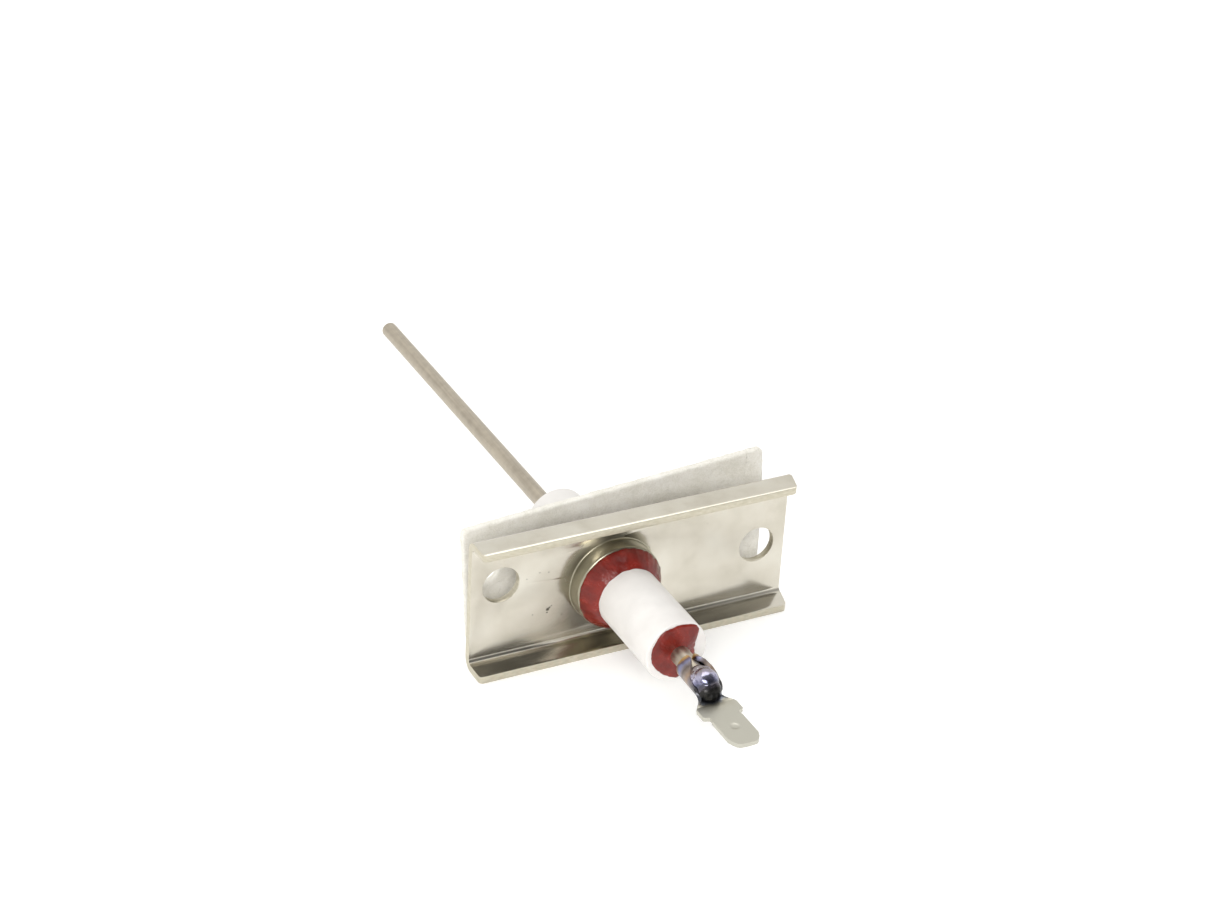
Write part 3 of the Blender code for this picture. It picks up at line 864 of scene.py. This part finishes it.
def buildTerminal():
    shape = terminalShape
    rows = [station[0] for station in shape["stations"]]
    first, last = rows[0], rows[-1]
    steps = int((last - first) / shape["rowSpacing"])
    rows = sorted(set(rows + [round(first + (last - first) * i / steps, 3) for i in range(steps + 1)]))
    kept = [rows[0]]
    for at in rows[1:]:
        if at - kept[-1] > shape["closest"] or at == last:
            kept.append(at)
    curvature = [(at, half, 1 / radius if radius else 0.0) for at, half, radius in shape["stations"]]
    dimpleAt, dimpleRadius, dimpleDepth = shape["dimple"]
    liftStart, liftEnd = shape["liftSpan"]
    columns = shape["columns"]
    verts, faces = [], []
    for at in kept:
        half, curve = between(curvature, at)
        for c in range(columns + 1):
            side = 2 * c / columns - 1
            u = side * half
            if curve > 1e-4:
                x, z = math.sin(curve * u) / curve, (1 - math.cos(curve * u)) / curve
            else:
                x, z = u, 0.0
            # the right wing stands a little further off the rod than the left
            if x > 0 and z > shape["liftFrom"]:
                grown = (at - liftStart) / (liftEnd - liftStart)
                x += shape["lift"] * (z - shape["liftFrom"]) * max(0.0, min(1.0, grown))
            away = math.hypot(x, at - dimpleAt)
            if away < dimpleRadius:
                z -= dimpleDepth * (0.5 + 0.5 * math.cos(math.pi * (away / dimpleRadius) ** 2))
            # the tip's edge is slightly crowned
            tip = max(0.0, (at - shape["crownStart"]) / shape["crownLength"])
            verts.append((x, shape["crown"] * side ** 2 * tip - at, shape["bottom"] + z))
    width = columns + 1
    for r in range(len(kept) - 1):
        for c in range(columns):
            a = r * width + c
            faces.append((a, a + 1, a + 1 + width, a + width))
    terminal = newMesh("terminalTab", verts, faces, [terminalMaterial()])
    if sum(face.normal.z for face in terminal.data.polygons if abs(face.center.x) < mm) < 0:
        terminal.data.flip_normals()
    sheet = terminal.modifiers.new("sheet", "SOLIDIFY")
    sheet.thickness = shape["sheet"] * mm
    sheet.offset = 0.0
    sheet.use_even_offset = True
    soften = terminal.modifiers.new("edgeBreak", "BEVEL")
    soften.width = shape["edgeBreak"] * mm
    soften.segments = 2
    soften.limit_method = "ANGLE"
    soften.angle_limit = math.radians(50)
    return settle(terminal, 60)


terminal = buildTerminal()
addPiece(terminal, "electrode", "plated_tab", "terminal")

weldShape = {
    # blobs that melted together: x, forward, height, radius
    "blobs": ((0.0, 39.3, 0.35, 2.55), (-0.6, 40.9, -0.6, 1.8), (0.6, 40.9, -0.6, 1.8),
              (-0.75, 41.6, -1.3, 1.1), (0.75, 41.6, -1.3, 1.1), (0.0, 41.8, -1.2, 1.3),
              (-0.2, 37.4, 0.6, 1.85), (0.9, 37.7, 0.9, 1.4), (-1.0, 38.2, 0.7, 1.5)),
    "voxel": 0.11,
    "wander": 0.07,
}


def weldMaterial():
    # weld metal: smooth frozen drop, blue and lavender oxide above, black scale towards the blade
    look, tree, shader, place = newMaterial("oxidised weld metal")
    swirl = addNode(tree, "ShaderNodeTexNoise",
            {"Vector": place, "Scale": 1 / (1.1 * mm), "Detail": 3.0, "Distortion": 0.8})
    split = addNode(tree, "ShaderNodeSeparateXYZ", {0: place})
    tilt = addNode(tree, "ShaderNodeMath", {0: split.outputs[1], 1: split.outputs[2]}, operation="ADD")
    height = addNode(tree, "ShaderNodeMapRange", {0: tilt.outputs[0], 1: -43.7 * mm, 2: -36.0 * mm})
    spread = addNode(tree, "ShaderNodeMapRange", {0: swirl.outputs[0], 3: -0.22, 4: 0.22})
    zone = addNode(tree, "ShaderNodeMath", {0: height.outputs[0], 1: spread.outputs[0]}, operation="ADD")
    tone = addNode(tree, "ShaderNodeValToRGB",
            {"Fac": zone.outputs[0]},
            stops=[(0.05, "262625"), (0.26, "363534"), (0.36, "5f5b63"), (0.5, "55576a"),
                   (0.62, "7d7b96"), (0.76, "b3b1c8"), (0.9, "9d95a3"), (1.0, "91898a")])
    join(tree, tone.outputs[0], shader, "Base Color")
    shader.inputs["Metallic"].default_value = 0.9
    rough = addNode(tree, "ShaderNodeMapRange", {0: zone.outputs[0], 1: 0.1, 2: 0.5, 3: 0.42, 4: 0.13})
    join(tree, rough.outputs[0], shader, "Roughness")
    fine = addNode(tree, "ShaderNodeTexNoise", {"Vector": place, "Scale": 1 / (0.4 * mm), "Detail": 3.0})
    bump = addNode(tree, "ShaderNodeBump",
            {"Height": fine.outputs[0], "Strength": 0.4, "Distance": 0.05 * mm})
    join(tree, bump.outputs[0], shader, "Normal")
    return look


def buildWeld():
    shape = weldShape
    mesh = bpy.data.meshes.new("weldBead")
    work = bmesh.new()
    for x, forward, height, radius in shape["blobs"]:
        bmesh.ops.create_icosphere(work, subdivisions=4, radius=radius * mm,
                                   matrix=Matrix.Translation((x * mm, -forward * mm, height * mm)))
    work.to_mesh(mesh)
    work.free()
    weld = newObject("weldBead", mesh, [weldMaterial()])
    melt = weld.modifiers.new("melt", "REMESH")
    melt.mode = "VOXEL"
    melt.voxel_size = shape["voxel"] * mm
    relax = weld.modifiers.new("relax", "SMOOTH")
    relax.iterations = 12
    settle(weld)
    ruffle(weld, lambda x, y, z: shape["wander"] * wave(x, y, z, 1.1, 10))
    return weld


weld = buildWeld()
addPiece(weld, "electrode", "weld_metal", "weld_bead")

print("stage: gasket")

gasketShape = {
    "thickness": 1.6,
    "standoff": 6.5,
    "left": -27.6,
    "right": 37.8,
    "top": 14.65,
    "bottom": -11.5,
    "corner": 1.3,
    "bore": 7.0,
    "screwHoles": ((-23.2, 4.4), (31.9, 0.3)),
    "screwHoleRadius": 2.9,
    "turn": 4.0,              # degrees, anticlockwise from the terminal side
    "voxel": 0.34,
    "lumps": 0.10,
    "proud": 0.18,            # fibres stand this far off its faces at most
    "fibres": 2600,
    "fibreLength": 1.5,
    "fibreThickness": 0.035,
    "seed": 7,
}


def gasketMaterial():
    # wet-laid ceramic-fibre paper: matt off-white, cloudy where the fibres bunched, no shine
    look, tree, shader, place = newMaterial("ceramic-fibre paper")
    cloud = addNode(tree, "ShaderNodeTexNoise", {"Vector": place, "Scale": 1 / (6 * mm), "Detail": 5.0})
    felt = addNode(tree, "ShaderNodeTexNoise",
            {"Vector": place, "Scale": 1 / (0.5 * mm), "Detail": 6.0, "Distortion": 1.5})
    both = addNode(tree, "ShaderNodeMath", {0: cloud.outputs[0], 1: felt.outputs[0]}, operation="ADD")
    halved = addNode(tree, "ShaderNodeMath", {0: both.outputs[0], 1: 0.5}, operation="MULTIPLY")
    tone = addNode(tree, "ShaderNodeValToRGB",
            {"Fac": halved.outputs[0]}, stops=[(0.38, "dcd9cf"), (0.5, "e7e4dc"), (0.62, "eeece6")])
    join(tree, tone.outputs[0], shader, "Base Color")
    shader.inputs["Roughness"].default_value = 0.95
    shader.inputs["Specular IOR Level"].default_value = 0.2
    shader.inputs["Sheen Weight"].default_value = 0.15
    bump = addNode(tree, "ShaderNodeBump",
            {"Height": felt.outputs[0], "Strength": 0.5, "Distance": 0.08 * mm})
    join(tree, bump.outputs[0], shader, "Normal")
    return look


def fibreMaterial():
    # loose ceramic fibres: fine, pale and slightly silky
    look, tree, shader, place = newMaterial("loose ceramic fibre")
    shade = addNode(tree, "ShaderNodeTexNoise", {"Vector": place, "Scale": 1 / (1.5 * mm), "Detail": 2.0})
    tone = addNode(tree, "ShaderNodeValToRGB",
            {"Fac": shade.outputs[0]}, stops=[(0.3, "d2cfc6"), (0.7, "e6e4de")])
    join(tree, tone.outputs[0], shader, "Base Color")
    shader.inputs["Roughness"].default_value = 0.7
    return look


def buildGasket(look):
    shape = gasketShape
    corner = shape["corner"]
    outline = []
    for x, z, start in (
        (shape["right"] - corner, shape["top"] - corner, 0),
        (shape["left"] + corner, shape["top"] - corner, 90),
        (shape["left"] + corner, shape["bottom"] + corner, 180),
        (shape["right"] - corner, shape["bottom"] + corner, 270),
    ):
        outline += arcPoints((x, z), corner, start, start + 90, 8)
    loops = [outline, arcPoints((0, 0), shape["bore"], 0, 360, 72)[:-1]]
    loops += [arcPoints(hole, shape["screwHoleRadius"], 0, 360, 48)[:-1] for hole in shape["screwHoles"]]
    curve = bpy.data.curves.new("gasketOutline", "CURVE")
    curve.dimensions = "2D"
    curve.fill_mode = "BOTH"
    curve.extrude = shape["thickness"] / 2 * mm
    for loop in loops:
        spline = curve.splines.new("POLY")
        spline.points.add(len(loop) - 1)
        for point, (x, y) in zip(spline.points, loop):
            point.co = (x * mm, y * mm, 0, 1)
        spline.use_cyclic_u = True
    pattern = bpy.data.objects.new("gasketOutline", curve)
    scene.collection.objects.link(pattern)
    bpy.context.view_layer.update()
    mesh = bpy.data.meshes.new_from_object(pattern.evaluated_get(bpy.context.evaluated_depsgraph_get()))
    bpy.data.objects.remove(pattern)
    middle = shape["standoff"] + shape["thickness"] / 2
    mesh.transform(Matrix.Translation((0, middle * mm, 0)) @ Matrix.Rotation(math.radians(90), 4, "X")
                   @ Matrix.Rotation(math.radians(shape["turn"]), 4, "Z"))
    cleanMesh(mesh)
    mesh.materials.clear()
    gasket = newObject("fibreGasket", mesh, [look])
    felt = gasket.modifiers.new("felt", "REMESH")
    felt.mode = "VOXEL"
    felt.voxel_size = shape["voxel"] * mm
    relax = gasket.modifiers.new("relax", "SMOOTH")
    relax.iterations = 3
    settle(gasket)
    ruffle(gasket, lambda x, y, z: shape["lumps"] * (0.65 * wave(x, y, z, 3.2, 11)
                                                     + 0.35 * wave(x, y, z, 0.9, 12) - 0.5))
    return gasket


def fibreTree():
    # short bent fibres scattered over a surface, lying close to it
    tree, given = newTree("looseFibres",
            {"Surface": "Geometry", "Density": "Float", "Length": "Float", "Thickness": "Float",
             "Seed": "Int", "Finish": "Material"})
    points = addNode(tree, "GeometryNodeDistributePointsOnFaces",
            {"Mesh": given["Surface"], "Density": given["Density"], "Seed": given["Seed"]})
    bend = addNode(tree, "GeometryNodeCurvePrimitiveBezierSegment",
            {"Start": (-0.5, 0, 0), "Start Handle": (-0.2, 0.22, 0.04), "End Handle": (0.2, -0.18, 0.10),
             "End": (0.5, 0.05, 0.16), "Resolution": 5})
    section = addNode(tree, "GeometryNodeCurvePrimitiveCircle",
            {"Resolution": 3, "Radius": given["Thickness"]})
    length = given["Length"]
    scaleUp = addNode(tree, "ShaderNodeCombineXYZ", {0: length, 1: length, 2: length})
    sized = addNode(tree, "GeometryNodeTransform", {0: bend.outputs[0], "Scale": scaleUp.outputs[0]})
    strand = addNode(tree, "GeometryNodeCurveToMesh",
            {0: sized.outputs[0], 1: section.outputs[0], "Fill Caps": True})
    spin = addNode(tree, "FunctionNodeRandomValue", {2: 0.0, 3: math.tau, "Seed": 3}, data_type="FLOAT")
    about = addNode(tree, "ShaderNodeCombineXYZ", {2: spin.outputs[1]})
    asRotation = addNode(tree, "FunctionNodeEulerToRotation", {0: about.outputs[0]})
    turned = addNode(tree, "FunctionNodeRotateRotation",
            {0: points.outputs["Rotation"], 1: asRotation.outputs[0]}, rotation_space="LOCAL")
    grow = addNode(tree, "FunctionNodeRandomValue", {2: 0.45, 3: 1.25, "Seed": 5}, data_type="FLOAT")
    placed = addNode(tree, "GeometryNodeInstanceOnPoints",
            {"Points": points.outputs[0], "Instance": strand.outputs[0], "Rotation": turned.outputs[0],
             "Scale": grow.outputs[1]})
    whole = addNode(tree, "GeometryNodeRealizeInstances", {0: placed.outputs[0]})
    painted = addNode(tree, "GeometryNodeSetMaterial", {0: whole.outputs[0], "Material": given["Finish"]})
    addNode(tree, "NodeGroupOutput", {0: painted.outputs[0]})
    return tree


def buildFibres(gasket):
    shape = gasketShape
    fuzz = newObject("gasketFibres", gasket.data.copy())
    area = sum(face.area for face in fuzz.data.polygons)
    scatter = fuzz.modifiers.new("scatter", "NODES")
    scatter.node_group = fibreTree()
    giveInputs(scatter,
            {"Density": shape["fibres"] / area, "Length": shape["fibreLength"] * mm,
             "Thickness": shape["fibreThickness"] / 2 * mm, "Seed": shape["seed"],
             "Finish": fibreMaterial()})
    return settle(fuzz)


def keepWithin(obj, box, proud):
    # flattens what would stand out past the gasket's edges, or further off its faces than proud
    low, high = box
    for vert in obj.data.vertices:
        vert.co.x = min(max(vert.co.x, low[0]), high[0])
        vert.co.y = min(max(vert.co.y, low[1] - proud * mm), high[1] + proud * mm)
        vert.co.z = min(max(vert.co.z, low[2]), high[2])


gasket = buildGasket(gasketMaterial())
fibres = buildFibres(gasket)
for soft in (gasket, fibres):
    keepWithin(soft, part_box("fibre_gasket"), gasketShape["proud"])
addPiece(gasket, "gasket", "gasket_fibre", "fibre_gasket")
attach(fibres, "gasket")
